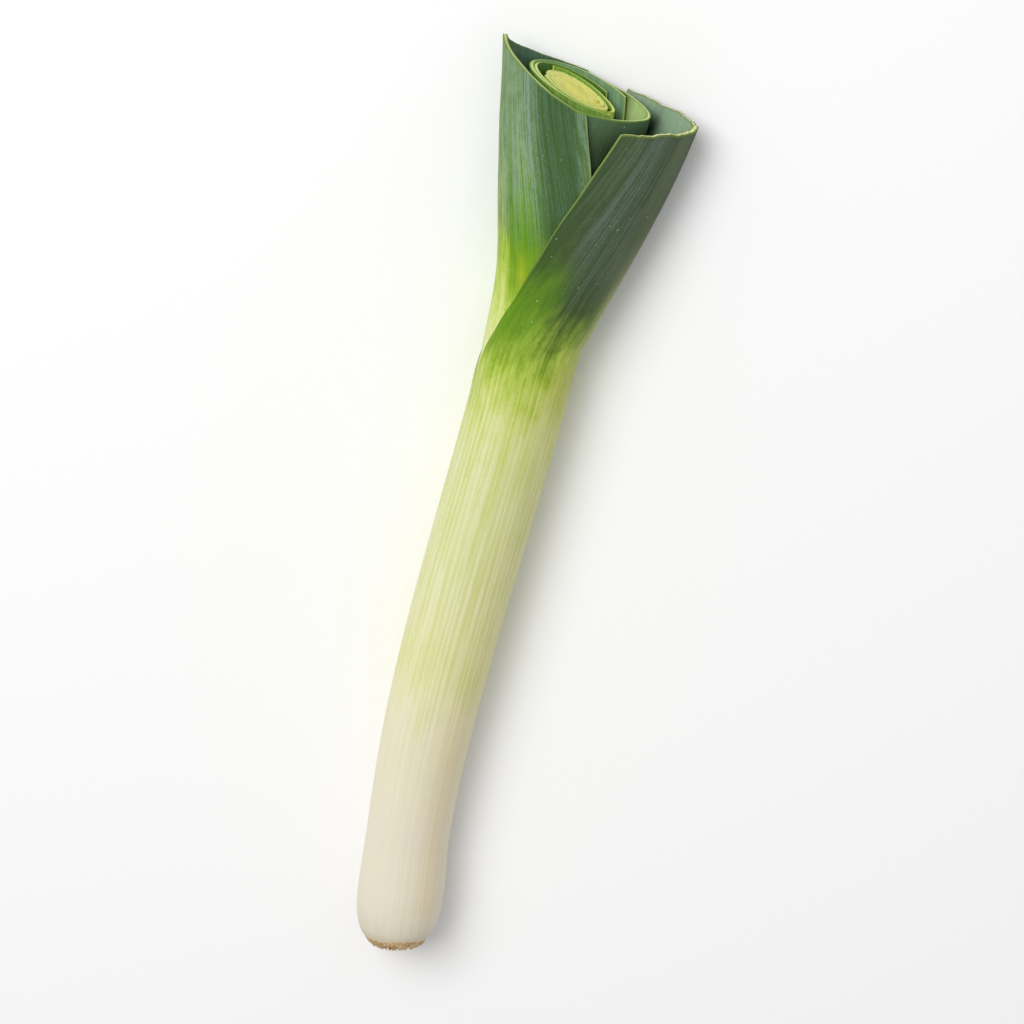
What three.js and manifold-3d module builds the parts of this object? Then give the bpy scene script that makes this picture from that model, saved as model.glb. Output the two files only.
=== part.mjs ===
// A trimmed leek lying on its side: six nested leaves, the heart they enclose and the root plate.
// Millimetres. The root end points to -Y, the cut top to +Y, and +Z is up from the surface it lies on.
import * as THREE from "three";
import { mergeVertices } from "three/addons/utils/BufferGeometryUtils.js";
import Module from "manifold-3d";

// Station of the middle of the cut. Stations run along the axis from just below the roots.
const LENGTH = 352.6;
// The shaft sways sideways in a slight S, with a slight bow to the left added.
const SWAY = 52;
const BOW = 7.6;
// Near the root end the axis drifts this much further to the left, over this length.
const ROOT_DRIFT = 1.2;
const ROOT_DRIFT_LENGTH = 34;
// The whole axis stands this far to the right of the line through its ends.
const SHIFT = 0.3;
// The underside is pressed flat by this much, which gives the strip it rests on.
const FLAT = 0.47;
// The cut across the top leans back towards the root on its upper side.
const CUT_LEAN = Math.tan(THREE.MathUtils.degToRad(18));
// The middle of the whole leek, measured from the start of its axis.
const MIDDLE_X = 8.4;
const MIDDLE_Y = 183.59;

// Outside radius of the closed shaft: root end, bulb, neck, shaft.
const SHAFT_RADIUS = [
  [4.8, 11.9],
  [5.8, 13],
  [7.6, 14.3],
  [10, 15.3],
  [13, 16.1],
  [18, 16.8],
  [25, 17],
  [36, 16.7],
  [48, 16.3],
  [70, 16.6],
  [100, 17.2],
  [140, 17.7],
  [190, 17.9],
  [260, 17.9],
];
const BULB_STATION = 25;
// Where the closed part of every leaf gets a ring of points.
const RINGS = [7.6, 10, 13, 18, 25, 36, 48, 70, 100, 130, 160, 190, 215, 238, 249, 260, 275, 290];
// The outermost leaf reaches further down, round the edge of the root plate.
const BASE_RINGS = [4.8, 5.8];
// Step in radius from one closed sheath to the next, and the wall of each.
const SHEATH_STEP = 1.8;
// The same step between the blades at the cut, to which a leaf may add its own slack.
const BLADE_STEP = 1.6;
const SHEATH_WALL = 1.25;
const BASE_WALL = 0.7;

// One entry a leaf, from the outside in. side is where its keel points, right or left of the axis.
// keel lists how far the keel stands out, at stations along the axis. half is the half height of
// the blade at the cut, slack how much wider it is there on the side away from the keel, and pinch
// how far the keel is folded to a ridge, on its upper and on its lower flank. The leaf is a closed
// tube up to its mouth, and its two margins part from there: front and back are the angles from
// the keel that they reach at the cut, and a higher curve takes them there sooner. cut moves and
// slopes the cut, and dip sinks the cut of both flanks below the straight line from keel to margin.
const LEAVES = [
  {
    name: "leaf_1",
    side: 1,
    keel: [
      [250, 17.9],
      [258, 18.2],
      [264, 19.8],
      [272, 22.1],
      [300, 31.2],
      [326, 39.7],
      [342, 44.6],
      [356, 48.7],
    ],
    half: 17.5,
    slack: 0,
    pinch: [0.36, 0.46],
    mouth: 238,
    front: 74.5,
    back: 76,
    curve: 1.65,
    cut: [-4.4, -0.12],
    dip: 0,
    ragged: 0.5,
    keelWall: 2.4,
    edgeWall: 1.1,
    columns: 28,
    rows: 11,
    colour: "#7f9c58",
  },
  {
    name: "leaf_2",
    side: -1,
    keel: [
      [233, 16.1],
      [253, 17.9],
      [270, 18.4],
      [280, 19],
      [292, 20.6],
      [301, 22.2],
      [318, 24.6],
      [344, 26.8],
      [370, 27.2],
    ],
    half: 16,
    slack: 0,
    pinch: [0.44, 0.52],
    mouth: 260,
    front: 97,
    back: 93,
    curve: 1.6,
    cut: [8.2, -0.375],
    dip: 8,
    ragged: 0.15,
    keelWall: 2.8,
    edgeWall: 1.1,
    columns: 22,
    rows: 10,
    colour: "#6f9063",
  },
  {
    name: "leaf_3",
    side: 1,
    keel: [[262, 14.3], [275, 15.2], [290, 17.8], [310, 21.5], [330, 24.9], [345, 27.4], [360, 29.5]],
    half: 13.7,
    slack: 0,
    pinch: [0.36, 0.24],
    mouth: 275,
    front: 104,
    back: 93,
    curve: 2,
    cut: [-0.7, -0.25],
    dip: 0,
    ragged: 0.1,
    keelWall: 2,
    edgeWall: 1,
    columns: 20,
    rows: 9,
    colour: "#87a867",
  },
  {
    name: "leaf_4",
    side: -1,
    keel: [[262, 12.5], [278, 12.7], [300, 14.1], [330, 16], [360, 17.3], [372, 17.7]],
    half: 11.8,
    slack: 3.9,
    pinch: [0.1, 0.1],
    mouth: 290,
    front: 126,
    back: 143.5,
    curve: 1.6,
    cut: [1.4, -0.36],
    dip: 0,
    ragged: 0.1,
    keelWall: 1.2,
    edgeWall: 1,
    columns: 18,
    rows: 8,
    colour: "#8fb060",
  },
  {
    name: "leaf_5",
    side: -1,
    keel: [[262, 10.7], [278, 10.9], [300, 12.3], [330, 14.2], [360, 15.6], [372, 16]],
    half: 10.2,
    slack: 0,
    pinch: [0.12, 0.12],
    mouth: 290,
    front: 145,
    back: 132,
    curve: 1.6,
    cut: [0.5, -0.43],
    dip: 0,
    ragged: 0.1,
    keelWall: 1.3,
    edgeWall: 0.9,
    columns: 16,
    rows: 8,
    colour: "#9dbb5f",
  },
  {
    name: "leaf_6",
    side: 1,
    keel: [[262, 8.9], [278, 9.4], [295, 10.6], [325, 12.9], [345, 14.4], [360, 15.2]],
    half: 8.6,
    slack: 0,
    pinch: [0.35, 0.35],
    mouth: 290,
    front: 156,
    back: 138,
    curve: 1.6,
    cut: [0.3, -0.48],
    dip: 0,
    ragged: 0,
    keelWall: 1.2,
    edgeWall: 0.9,
    columns: 16,
    rows: 8,
    colour: "#b3c667",
  },
];

// The heart ends in a lens that the cut shows whole.
const HEART = {
  name: "heart",
  side: 1,
  right: [[262, 7.1], [278, 7.4], [300, 9], [330, 11.1], [350, 12], [365, 12.3]],
  left: [[262, 7.1], [278, 7.2], [300, 8.1], [330, 10], [357, 11.1], [370, 11.4]],
  half: 7.1,
  pinch: [0.25, 0.25],
  cut: [-0.4, -0.47],
  dip: 0,
  ragged: 0,
  columns: 20,
  rows: 6,
  // The cut face steps down and up again in rings, where one rolled leaf meets the next.
  faceRings: [[0.86, 0.25], [0.66, -0.15], [0.42, 0.2], [0.2, -0.1]],
  colour: "#d9d877",
};

const ROOT = {
  name: "root_plate",
  // Radius and station of the turned outline, from the middle of its underside to its top.
  outline: [[0, 3.7], [6, 3.6], [9.4, 3.8], [10.5, 4.6], [10.5, 7], [0, 7.2]],
  sides: 30,
  // Rings of cut root stubs: how many, how far from the axis.
  stubs: [[28, 9.5], [17, 7.5], [10, 5], [4, 2.2]],
  // How far each may leave its even place, as a share of the spacing and in millimetres.
  turnSpread: 0.5,
  awaySpread: 0.5,
  stubSides: 4,
  stubTop: 5.2,
  // For the next three, the least value and how much chance may add.
  stubEnd: [2.3, 1.1],
  stubSplay: [0.4, 1.1],
  stubRadius: [0.54, 0.36],
  stubTaper: 0.8,
  colour: "#c4a06a",
};

// How soon a blade leaves the round section of the sheath.
const OPENING_START = 246;
// The end of a leaf is found by halving the way to the cut this many times.
const CUT_PASSES = 12;
// How sharply the pinch of a leaf gathers at its keel.
const PINCH_POWER = 3;

// A smooth curve through pairs of station and value, without overshoot between them.
function along(pairs, station) {
  const last = pairs.length - 1;
  if (station <= pairs[0][0]) return pairs[0][1];
  if (station >= pairs[last][0]) return pairs[last][1];
  const slope = (k) => (pairs[k + 1][1] - pairs[k][1]) / (pairs[k + 1][0] - pairs[k][0]);
  const tangent = (k) => {
    if (k === 0 || k === last) return k === 0 ? 0 : slope(last - 1);
    const before = slope(k - 1);
    const after = slope(k);
    return before * after <= 0 ? 0 : (2 * before * after) / (before + after);
  };
  let k = 0;
  while (station > pairs[k + 1][0]) k += 1;
  const width = pairs[k + 1][0] - pairs[k][0];
  const u = (station - pairs[k][0]) / width;
  const v = 1 - u;
  return (
    pairs[k][1] * (1 + 2 * u) * v * v +
    pairs[k + 1][1] * (3 - 2 * u) * u * u +
    width * u * v * (tangent(k) * v - tangent(k + 1) * u)
  );
}

const shaftRadius = (station) => along(SHAFT_RADIUS, station);

// How far the blades have opened at a station: 0 in the sheath, 1 at the cut.
const opening = (station) => THREE.MathUtils.smoothstep(station, OPENING_START, LENGTH);

// Half height of the section of leaf number index, 0 the outermost.
function halfHeight(index, station) {
  const sheath = shaftRadius(station) - index * SHEATH_STEP;
  const atCut = index < LEAVES.length ? LEAVES[index].half : HEART.half;
  return THREE.MathUtils.lerp(sheath, atCut, opening(station));
}

// How far the section of leaf number index reaches to the left and right of the axis.
// The keel sets one side, and the other follows the leaf inside it.
function reach(index, station) {
  const sheath = shaftRadius(station) - index * SHEATH_STEP;
  if (index === LEAVES.length) {
    return {
      left: Math.min(sheath, HEART.left[0][1]) + along(HEART.left, station) - HEART.left[0][1],
      right: Math.min(sheath, HEART.right[0][1]) + along(HEART.right, station) - HEART.right[0][1],
    };
  }
  const leaf = LEAVES[index];
  const inner = reach(index + 1, station);
  const keel = sheath + along(leaf.keel, station) - leaf.keel[0][1];
  const open = opening(station);
  const step = THREE.MathUtils.lerp(SHEATH_STEP, BLADE_STEP, open) + leaf.slack * open * open;
  return leaf.side > 0
    ? { left: inner.left + step, right: keel }
    : { left: keel, right: inner.right + step };
}

// The point of a section at an angle from its keel, across (to the right) and up from the axis.
// An inner skin is the same section drawn smaller, by wall.keel at the keel and wall.edge elsewhere.
function sectionPoint(index, station, angle, wall = { keel: 0, edge: 0 }) {
  const { left, right } = reach(index, station);
  const shape = index < LEAVES.length ? LEAVES[index] : HEART;
  const side = shape.side;
  const pinch = shape.pinch[Math.sin(angle) < 0 ? 1 : 0] * opening(station);
  const middle = (right - left - side * (wall.keel - wall.edge)) / 2;
  const halfWidth = (right + left - wall.keel - wall.edge) / 2;
  const folded = 1 - pinch * Math.pow((1 + Math.cos(angle)) / 2, PINCH_POWER);
  return {
    across: middle + side * halfWidth * Math.cos(angle),
    up: (halfHeight(index, station) - wall.edge) * Math.sin(angle) * folded,
  };
}

// The point of space at a place in the section that stands square on the axis at a station.
function place(station, across, up) {
  const t = station / LENGTH;
  const drift = ROOT_DRIFT * (1 - THREE.MathUtils.smoothstep(station, 0, ROOT_DRIFT_LENGTH));
  const x = SWAY * (3 * t * t - 2 * t * t * t - t) - BOW * t * (1 - t) - drift + SHIFT;
  const lean = (SWAY * (6 * t - 6 * t * t - 1) - BOW * (1 - 2 * t)) / LENGTH;
  const length = Math.hypot(1, lean);
  const widest = Math.max(station, BULB_STATION);
  const height = halfHeight(0, Math.min(widest, LENGTH)) - FLAT;
  return new THREE.Vector3(
    x + across / length - MIDDLE_X,
    station - (across * lean) / length - MIDDLE_Y,
    Math.max(0, height + up),
  );
}

const cutStation = (cut, across, up) => LENGTH + cut[0] + cut[1] * across - CUT_LEAN * up;

// Slight waves along a cut rim: how close, how high and where each begins.
const RIM_WAVES = [[9, 0.6, 0.8], [17, 0.4, 0]];

const rimWave = (angle) => {
  return RIM_WAVES.reduce((sum, [turns, size, start]) => sum + size * Math.sin(turns * angle + start), 0);
};

// The station where a section point at an angle meets the cut, which may be ragged.
function cutEnd(index, angle) {
  const shape = index < LEAVES.length ? LEAVES[index] : HEART;
  let end = LENGTH;
  for (let pass = 0; pass < CUT_PASSES; pass += 1) {
    const point = sectionPoint(index, end, angle);
    const level = cutStation(shape.cut, point.across, point.up) - shape.dip * Math.abs(Math.sin(angle));
    end = (end + level + shape.ragged * rimWave(angle)) / 2;
  }
  return end;
}

// A closed geometry from points and triangles, turned to face outwards.
function closedGeometry(points, triangles) {
  let volume = 0;
  const cross = new THREE.Vector3();
  for (const [a, b, c] of triangles) {
    volume += points[a].dot(cross.crossVectors(points[b], points[c]));
  }
  const facing = volume < 0 ? triangles.map(([a, b, c]) => [a, c, b]) : triangles;
  const geometry = new THREE.BufferGeometry().setFromPoints(points);
  geometry.setIndex(facing.flat());
  geometry.computeVertexNormals();
  return geometry;
}

// One leaf: an outer and an inner skin on the same grid, joined along every free edge.
function leafGeometry(index) {
  const leaf = LEAVES[index];
  const rings = RINGS.filter((station) => station <= leaf.mouth);
  if (index === 0) rings.unshift(...BASE_RINGS);
  const mouthRow = rings.length - 1;
  const lastRow = mouthRow + leaf.rows;
  const half = leaf.columns / 2;
  const points = [];

  const angleAt = (row, column) => {
    const open = Math.max(0, row - mouthRow) / leaf.rows;
    const share = (column - half) / half;
    const edge = THREE.MathUtils.lerp(180, share > 0 ? leaf.front : leaf.back, open);
    return THREE.MathUtils.degToRad(edge) * share;
  };

  const stationAt = (row, column) => {
    if (row <= mouthRow) return rings[row];
    const end = cutEnd(index, angleAt(lastRow, column));
    return THREE.MathUtils.lerp(leaf.mouth, end, Math.pow((row - mouthRow) / leaf.rows, leaf.curve));
  };

  const wallAt = (row) => {
    if (index === 0 && row < BASE_RINGS.length) return { keel: BASE_WALL, edge: BASE_WALL };
    const open = Math.max(0, row - mouthRow) / leaf.rows;
    return {
      keel: THREE.MathUtils.lerp(SHEATH_WALL, leaf.keelWall, open),
      edge: THREE.MathUtils.lerp(SHEATH_WALL, leaf.edgeWall, open),
    };
  };

  const skin = (inside) => {
    const grid = [];
    for (let row = 0; row <= lastRow; row += 1) {
      const line = [];
      for (let column = 0; column <= leaf.columns; column += 1) {
        if (column === leaf.columns && row <= mouthRow) {
          line.push(line[0]);
          continue;
        }
        const angle = angleAt(row, column);
        let station = stationAt(row, column);
        let point = sectionPoint(index, station, angle);
        if (inside) {
          const inner = sectionPoint(index, station, angle, wallAt(row));
          if (row === lastRow) {
            const outerEnd = cutStation(leaf.cut, point.across, point.up);
            station += cutStation(leaf.cut, inner.across, inner.up) - outerEnd;
          }
          point = inner;
        }
        line.push(points.length);
        points.push(place(station, point.across, point.up));
      }
      grid.push(line);
    }
    return grid;
  };

  const outer = skin(false);
  const inner = skin(true);
  const triangles = [];
  const quad = (a, b, c, d) => triangles.push([a, b, c], [a, c, d]);
  for (let row = 0; row < lastRow; row += 1) {
    for (let column = 0; column < leaf.columns; column += 1) {
      const r = row + 1;
      const c = column + 1;
      quad(outer[row][column], outer[row][c], outer[r][c], outer[r][column]);
      triangles.push([inner[row][column], inner[r][c], inner[row][c]]);
      triangles.push([inner[row][column], inner[r][column], inner[r][c]]);
    }
  }
  for (let column = 0; column < leaf.columns; column += 1) {
    const c = column + 1;
    quad(outer[0][column], inner[0][column], inner[0][c], outer[0][c]);
    quad(outer[lastRow][column], outer[lastRow][c], inner[lastRow][c], inner[lastRow][column]);
  }
  const end = leaf.columns;
  for (let row = mouthRow; row < lastRow; row += 1) {
    const r = row + 1;
    quad(outer[row][0], outer[r][0], inner[r][0], inner[row][0]);
    quad(outer[row][end], inner[row][end], inner[r][end], outer[r][end]);
  }
  return closedGeometry(points, triangles);
}

// The heart is solid, and its cut face is modelled in rings.
function heartGeometry() {
  const index = LEAVES.length;
  const count = HEART.columns;
  const points = [];
  const grid = [];
  const addRing = (at) => {
    const line = [];
    for (let column = 0; column < count; column += 1) {
      line.push(points.length);
      points.push(at((column / count) * Math.PI * 2));
    }
    grid.push(line);
  };
  const mouth = RINGS[RINGS.length - 1];
  for (const station of RINGS) {
    addRing((angle) => {
      const point = sectionPoint(index, station, angle);
      return place(station, point.across, point.up);
    });
  }
  for (let row = 1; row <= HEART.rows; row += 1) {
    addRing((angle) => {
      const station = THREE.MathUtils.lerp(mouth, cutEnd(index, angle), row / HEART.rows);
      const point = sectionPoint(index, station, angle);
      return place(station, point.across, point.up);
    });
  }
  for (const [share, raise] of HEART.faceRings) {
    addRing((angle) => {
      const point = sectionPoint(index, cutEnd(index, angle), angle);
      const across = point.across * share;
      const up = point.up * share;
      return place(cutStation(HEART.cut, across, up) + raise, across, up);
    });
  }
  const bottom = points.length;
  points.push(place(RINGS[0], 0, 0));
  const top = points.length;
  points.push(place(cutStation(HEART.cut, 0, 0), 0, 0));

  const triangles = [];
  for (let row = 0; row + 1 < grid.length; row += 1) {
    for (let column = 0; column < count; column += 1) {
      const c = (column + 1) % count;
      triangles.push([grid[row][column], grid[row][c], grid[row + 1][c]]);
      triangles.push([grid[row][column], grid[row + 1][c], grid[row + 1][column]]);
    }
  }
  const lastRing = grid[grid.length - 1];
  for (let column = 0; column < count; column += 1) {
    const c = (column + 1) % count;
    triangles.push([grid[0][c], grid[0][column], bottom]);
    triangles.push([lastRing[column], lastRing[c], top]);
  }
  return closedGeometry(points, triangles);
}

const wasm = await Module();
wasm.setup();

function toSolid(geometry) {
  const plain = geometry.clone();
  plain.deleteAttribute("normal");
  plain.deleteAttribute("uv");
  const merged = mergeVertices(plain, 1e-4);
  return new wasm.Manifold(
    new wasm.Mesh({
      numProp: 3,
      vertProperties: new Float32Array(merged.attributes.position.array),
      triVerts: new Uint32Array(merged.index.array),
    }),
  );
}

function toGeometry(solid) {
  const mesh = solid.getMesh();
  const geometry = new THREE.BufferGeometry();
  geometry.setAttribute("position", new THREE.BufferAttribute(mesh.vertProperties, mesh.numProp));
  geometry.setIndex(new THREE.BufferAttribute(mesh.triVerts, 1));
  geometry.computeVertexNormals();
  return geometry;
}

// A repeatable stand-in for chance, so that the roots come out the same each time.
let seed = 20117;
function chance() {
  seed = (seed * 16807) % 2147483647;
  return seed / 2147483647;
}
const anyOf = ([least, more]) => least + more * chance();

// The turned plate with its cut root stubs, modelled round the Y axis and then set on the leek's axis.
function rootGeometry() {
  const outline = ROOT.outline.map(([radius, station]) => new THREE.Vector2(radius, station));
  let plate = toSolid(new THREE.LatheGeometry(outline, ROOT.sides));
  const up = new THREE.Vector3(0, 1, 0);
  for (const [count, distance] of ROOT.stubs) {
    for (let k = 0; k < count; k += 1) {
      const turn = ((k + ROOT.turnSpread * chance()) / count) * Math.PI * 2;
      const away = distance + ROOT.awaySpread * (chance() - 0.5);
      const tipStation = anyOf(ROOT.stubEnd);
      const splay = anyOf(ROOT.stubSplay) * (distance / ROOT.stubs[0][1]);
      const radius = anyOf(ROOT.stubRadius);
      const root = new THREE.Vector3(Math.cos(turn) * away, ROOT.stubTop, Math.sin(turn) * away);
      const tip = new THREE.Vector3(
        Math.cos(turn) * (away + splay),
        tipStation,
        Math.sin(turn) * (away + splay),
      );
      const run = new THREE.Vector3().subVectors(root, tip);
      const length = run.length();
      const stub = new THREE.CylinderGeometry(radius, radius * ROOT.stubTaper, length, ROOT.stubSides);
      stub.applyQuaternion(new THREE.Quaternion().setFromUnitVectors(up, run.clone().normalize()));
      stub.translate(...root.clone().add(tip).multiplyScalar(0.5).toArray());
      plate = plate.add(toSolid(stub));
    }
  }
  const geometry = toGeometry(plate);
  const position = geometry.attributes.position;
  for (let k = 0; k < position.count; k += 1) {
    const point = place(position.getY(k), position.getX(k), position.getZ(k));
    position.setXYZ(k, point.x, point.y, point.z);
  }
  geometry.computeVertexNormals();
  return geometry;
}

function makeMesh(name, geometry, colour, roughness) {
  const material = new THREE.MeshStandardMaterial({ color: colour, roughness, metalness: 0 });
  const mesh = new THREE.Mesh(geometry, material);
  mesh.name = name;
  return mesh;
}

const leek = new THREE.Group();
leek.name = "leek";
LEAVES.forEach((leaf, index) => {
  leek.add(makeMesh(leaf.name, leafGeometry(index), leaf.colour, 0.5));
});
leek.add(makeMesh(HEART.name, heartGeometry(), HEART.colour, 0.4));
leek.add(makeMesh(ROOT.name, rootGeometry(), ROOT.colour, 0.85));

export default leek;
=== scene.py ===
import math
import random

import bpy
import numpy as np
from mathutils import Matrix, Vector, noise


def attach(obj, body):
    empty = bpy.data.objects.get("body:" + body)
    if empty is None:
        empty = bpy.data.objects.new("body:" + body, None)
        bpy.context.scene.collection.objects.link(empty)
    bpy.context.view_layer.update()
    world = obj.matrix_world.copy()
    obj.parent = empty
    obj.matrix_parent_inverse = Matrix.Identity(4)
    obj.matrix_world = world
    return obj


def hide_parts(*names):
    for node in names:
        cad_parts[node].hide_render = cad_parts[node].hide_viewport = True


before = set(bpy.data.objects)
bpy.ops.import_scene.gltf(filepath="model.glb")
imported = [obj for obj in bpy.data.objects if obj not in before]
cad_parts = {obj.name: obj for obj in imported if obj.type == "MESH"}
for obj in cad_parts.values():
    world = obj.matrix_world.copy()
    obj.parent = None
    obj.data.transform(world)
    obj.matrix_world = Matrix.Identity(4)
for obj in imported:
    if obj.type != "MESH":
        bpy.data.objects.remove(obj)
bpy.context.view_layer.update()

# the leek's own shape, in millimetres: a station is a place along the shaft, counted from the root
shaft = {
    "length": 352.6,  # station of the middle of the cut
    "sway": 52, "bow": 7.6, "shift": 0.3,  # the slight S of the axis
    "rootDrift": 1.2, "rootDriftLength": 34,
    "flat": 0.47,  # how much the underside is pressed flat
    "bulbStation": 25,  # the bulb lies on the floor from here on
    "middle": (8.4, 183.59),  # what lies at the frame's origin: across, and along
    "sheathStep": 1.8, "bladeStep": 1.6,  # from one leaf's outside to the next one's
    "closedTo": 230,  # up to here every leaf is a closed tube
    "openingStart": 246,  # from here the sections widen to those of the cut
    "cutLean": math.tan(math.radians(18)),
    "cutSteps": 14,  # rounds of looking for the cut, each halves the error
    "rimWaves": ((9, 0.6), (17, 0.4), (37, 0.26), (71, 0.14)),  # waves round the cut, and their height
    "radius": [[4.8, 11.9], [5.8, 13], [7.6, 14.3], [10, 15.3], [13, 16.1], [18, 16.8], [25, 17],
               [36, 16.7], [48, 16.3], [70, 16.6], [100, 17.2], [140, 17.7], [190, 17.9], [260, 17.9]],
}


def along(pairs, station):
    # smooth curve through pairs of station and value, with no overshoot between them
    xs, ys = np.array(pairs, float).T
    slopes = np.diff(ys) / np.diff(xs)
    tangents = np.zeros(len(xs))
    for k in range(1, len(xs) - 1):
        before, after = slopes[k - 1], slopes[k]
        tangents[k] = 0 if before * after <= 0 else 2 * before * after / (before + after)
    tangents[-1] = slopes[-1]
    s = np.clip(np.asarray(station, float), xs[0], xs[-1])
    k = np.clip(np.searchsorted(xs, s, side="left") - 1, 0, len(xs) - 2)
    width = xs[k + 1] - xs[k]
    u = (s - xs[k]) / width
    v = 1 - u
    return (ys[k] * (1 + 2 * u) * v * v + ys[k + 1] * (3 - 2 * u) * u * u
            + width * u * v * (tangents[k] * v - tangents[k + 1] * u))


def smooth(x, low, high):
    t = np.clip((np.asarray(x, float) - low) / (high - low), 0, 1)
    return t * t * (3 - 2 * t)


def opening(station):
    return smooth(station, shaft["openingStart"], shaft["length"])


def sheathRadius(index, station):
    return along(shaft["radius"], station) - index * shaft["sheathStep"]


def halfHeight(index, station):
    sheath = sheathRadius(index, station)
    return sheath + (layers[index]["half"] - sheath) * opening(station)


def reach(index, station):
    # how far the section goes left and right of the axis: the keel sets one side, the leaf inside the other
    sheath = sheathRadius(index, station)
    layer = layers[index]
    if layer is heart:
        sides = []
        for way in ("left", "right"):
            start = heart[way][0][1]
            sides.append(np.minimum(sheath, start) + along(heart[way], station) - start)
        return sides
    left, right = reach(index + 1, station)
    keel = sheath + along(layer["keel"], station) - layer["keel"][0][1]
    opened = opening(station)
    step = shaft["sheathStep"] + (shaft["bladeStep"] - shaft["sheathStep"]) * opened
    step = step + layer.get("slack", 0) * opened * opened
    return (left + step, keel) if layer["side"] > 0 else (keel, right + step)


def sectionPoint(index, station, angle):
    left, right = reach(index, station)
    layer = layers[index]
    pinch = np.where(np.sin(angle) < 0, layer["pinch"][1], layer["pinch"][0]) * opening(station)
    folded = 1 - pinch * ((1 + np.cos(angle)) / 2) ** 3
    across = (right - left) / 2 + layer["side"] * (right + left) / 2 * np.cos(angle)
    return across, halfHeight(index, station) * np.sin(angle) * folded


def cutStation(cut, across, up):
    return shaft["length"] + cut[0] + cut[1] * across - shaft["cutLean"] * up


def place(station, across, up):
    # from a place in the section at a station to metres in the frame
    station = np.asarray(station, float)
    t = station / shaft["length"]
    x = (shaft["sway"] * (3 * t * t - 2 * t ** 3 - t) - shaft["bow"] * t * (1 - t) + shaft["shift"]
         - shaft["rootDrift"] * (1 - smooth(station, 0, shaft["rootDriftLength"])))
    lean = (shaft["sway"] * (6 * t - 6 * t * t - 1) - shaft["bow"] * (1 - 2 * t)) / shaft["length"]
    size = np.hypot(1, lean)
    height = halfHeight(0, np.clip(station, shaft["bulbStation"], shaft["length"])) - shaft["flat"]
    return np.stack([x + across / size - shaft["middle"][0],
                     station - across * lean / size - shaft["middle"][1],
                     np.maximum(0, height + up)], -1) / 1000


def rimWaves(angle, seed):
    value = 0
    for k, (turns, size) in enumerate(shaft["rimWaves"]):
        value = value + size * np.sin(turns * angle + seed * (k + 1) + 0.8)
    return value


def endStation(index, angle):
    # where a leaf ends at the cut, all the way round it
    layer = layers[index]
    end = np.full(np.shape(angle), float(shaft["length"]))
    for _ in range(shaft["cutSteps"]):
        across, up = sectionPoint(index, end, angle)
        level = cutStation(layer["cut"], across, up) - layer.get("dip", 0) * np.abs(np.sin(angle))
        end = (end + level + layer.get("ragged", 0) * rimWaves(angle, index)) / 2
    return end


def startClean():
    if bpy.context.object and bpy.context.object.mode != "OBJECT":
        bpy.ops.object.mode_set(mode="OBJECT")
    bpy.ops.object.select_all(action="DESELECT")


def selectOnly(piece):
    startClean()
    bpy.context.view_layer.objects.active = piece
    piece.select_set(True)


def getPlaces(piece):
    places = np.zeros(len(piece.data.vertices) * 3, np.float32)
    piece.data.vertices.foreach_get("co", places)
    return places.reshape(-1, 3)


def setPlaces(piece, places):
    piece.data.vertices.foreach_set("co", np.ascontiguousarray(places, np.float32).ravel())
    piece.data.update()


def newGrid(name, columns, rows):
    # a flat sheet of the right count, with the column and row of each vertex
    startClean()
    bpy.ops.mesh.primitive_grid_add(x_subdivisions=columns, y_subdivisions=rows, size=1, location=(0, 0, 0))
    sheet = bpy.context.object
    sheet.name = name
    sheet.data.name = name
    places = getPlaces(sheet)
    column = np.rint((places[:, 0] + 0.5) * columns).astype(int)
    row = np.rint((places[:, 1] + 0.5) * rows).astype(int)
    return sheet, column, row


def addAttribute(piece, name, values):
    kind, field = ("FLOAT_VECTOR", "vector") if np.ndim(values) == 2 else ("FLOAT", "value")
    attribute = piece.data.attributes.new(name, kind, "POINT")
    attribute.data.foreach_set(field, np.ascontiguousarray(values, np.float32).ravel())


def weld(piece, distance=1e-6):
    selectOnly(piece)
    bpy.ops.object.mode_set(mode="EDIT")
    bpy.ops.mesh.select_all(action="SELECT")
    bpy.ops.mesh.remove_doubles(threshold=distance)
    bpy.ops.mesh.normals_make_consistent(inside=False)
    bpy.ops.object.mode_set(mode="OBJECT")


def applyModifier(piece, kind, **settings):
    selectOnly(piece)
    modifier = piece.modifiers.new(kind.title(), kind)
    for key, value in settings.items():
        setattr(modifier, key, value)
    bpy.ops.object.modifier_apply(modifier=modifier.name)


def smoothFaces(piece, degrees):
    selectOnly(piece)
    bpy.ops.object.shade_smooth_by_angle(angle=math.radians(degrees))


def facesOutward(piece):
    # a sheet's outer side has to look away from the leek's axis before it gets its wall
    total = 0
    for polygon in piece.data.polygons:
        x, y, z = polygon.center
        station = y * 1000 + shaft["middle"][1]
        if station > shaft["closedTo"]:
            continue
        axis = place(np.array(station), 0.0, 0.0)
        total += (polygon.normal.x * (x - axis[0]) + polygon.normal.z * (z - axis[2])) * polygon.area
    if total < 0:
        piece.data.flip_normals()


def keepAboveFloor(piece):
    places = getPlaces(piece)
    places[:, 2] = np.maximum(places[:, 2], 0)
    setPlaces(piece, places)


def triangles(piece):
    return sum(len(polygon.vertices) - 2 for polygon in piece.data.polygons)


def shade(*rgb):
    # a colour picked on screen, 0 to 255, as the linear value that a shader wants
    return tuple(((c / 255 + 0.055) / 1.055) ** 2.4 if c > 10 else c / 255 / 12.92 for c in rgb) + (1.0,)


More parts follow.
